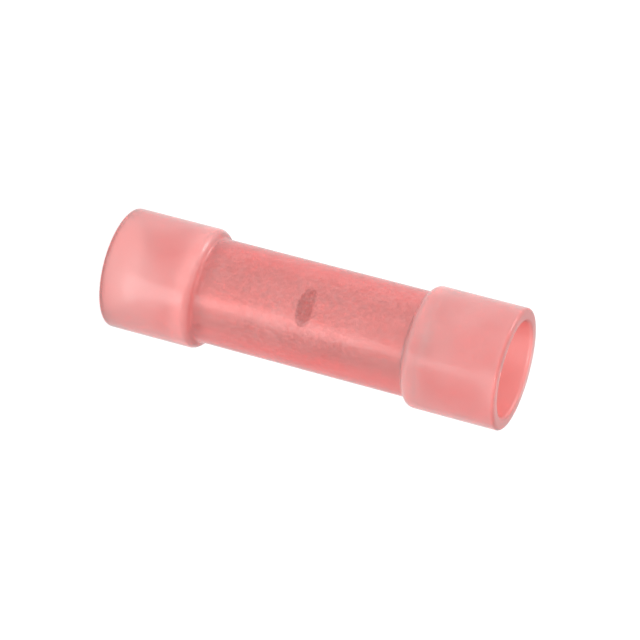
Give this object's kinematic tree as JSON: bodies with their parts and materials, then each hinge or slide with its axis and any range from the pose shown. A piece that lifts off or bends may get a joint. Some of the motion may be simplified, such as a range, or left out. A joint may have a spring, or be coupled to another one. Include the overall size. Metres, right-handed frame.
{
  "type": "butt splice connector",
  "caption": "Crimp butt splice: translucent red nylon sleeve with a belled mouth at each end, round a tin-plated copper barrel with a wire stop at mid-length.",
  "frame": {"origin": "centre of the lower mouth, on the surface that the splice stands on", "axes": "+Z along the splice's axis towards the upper mouth, -Y towards the notch of the wire stop"},
  "size_m": [0.0112, 0.0112, 0.038],
  "materials": {
    "red_nylon": "cloudy translucent red nylon, satin",
    "tin_plating": "matte tin plating over copper"
  },
  "bodies": {
    "root": {"insulation_sleeve": "red_nylon", "crimp_barrel": "tin_plating"}
  },
  "joints": []
}
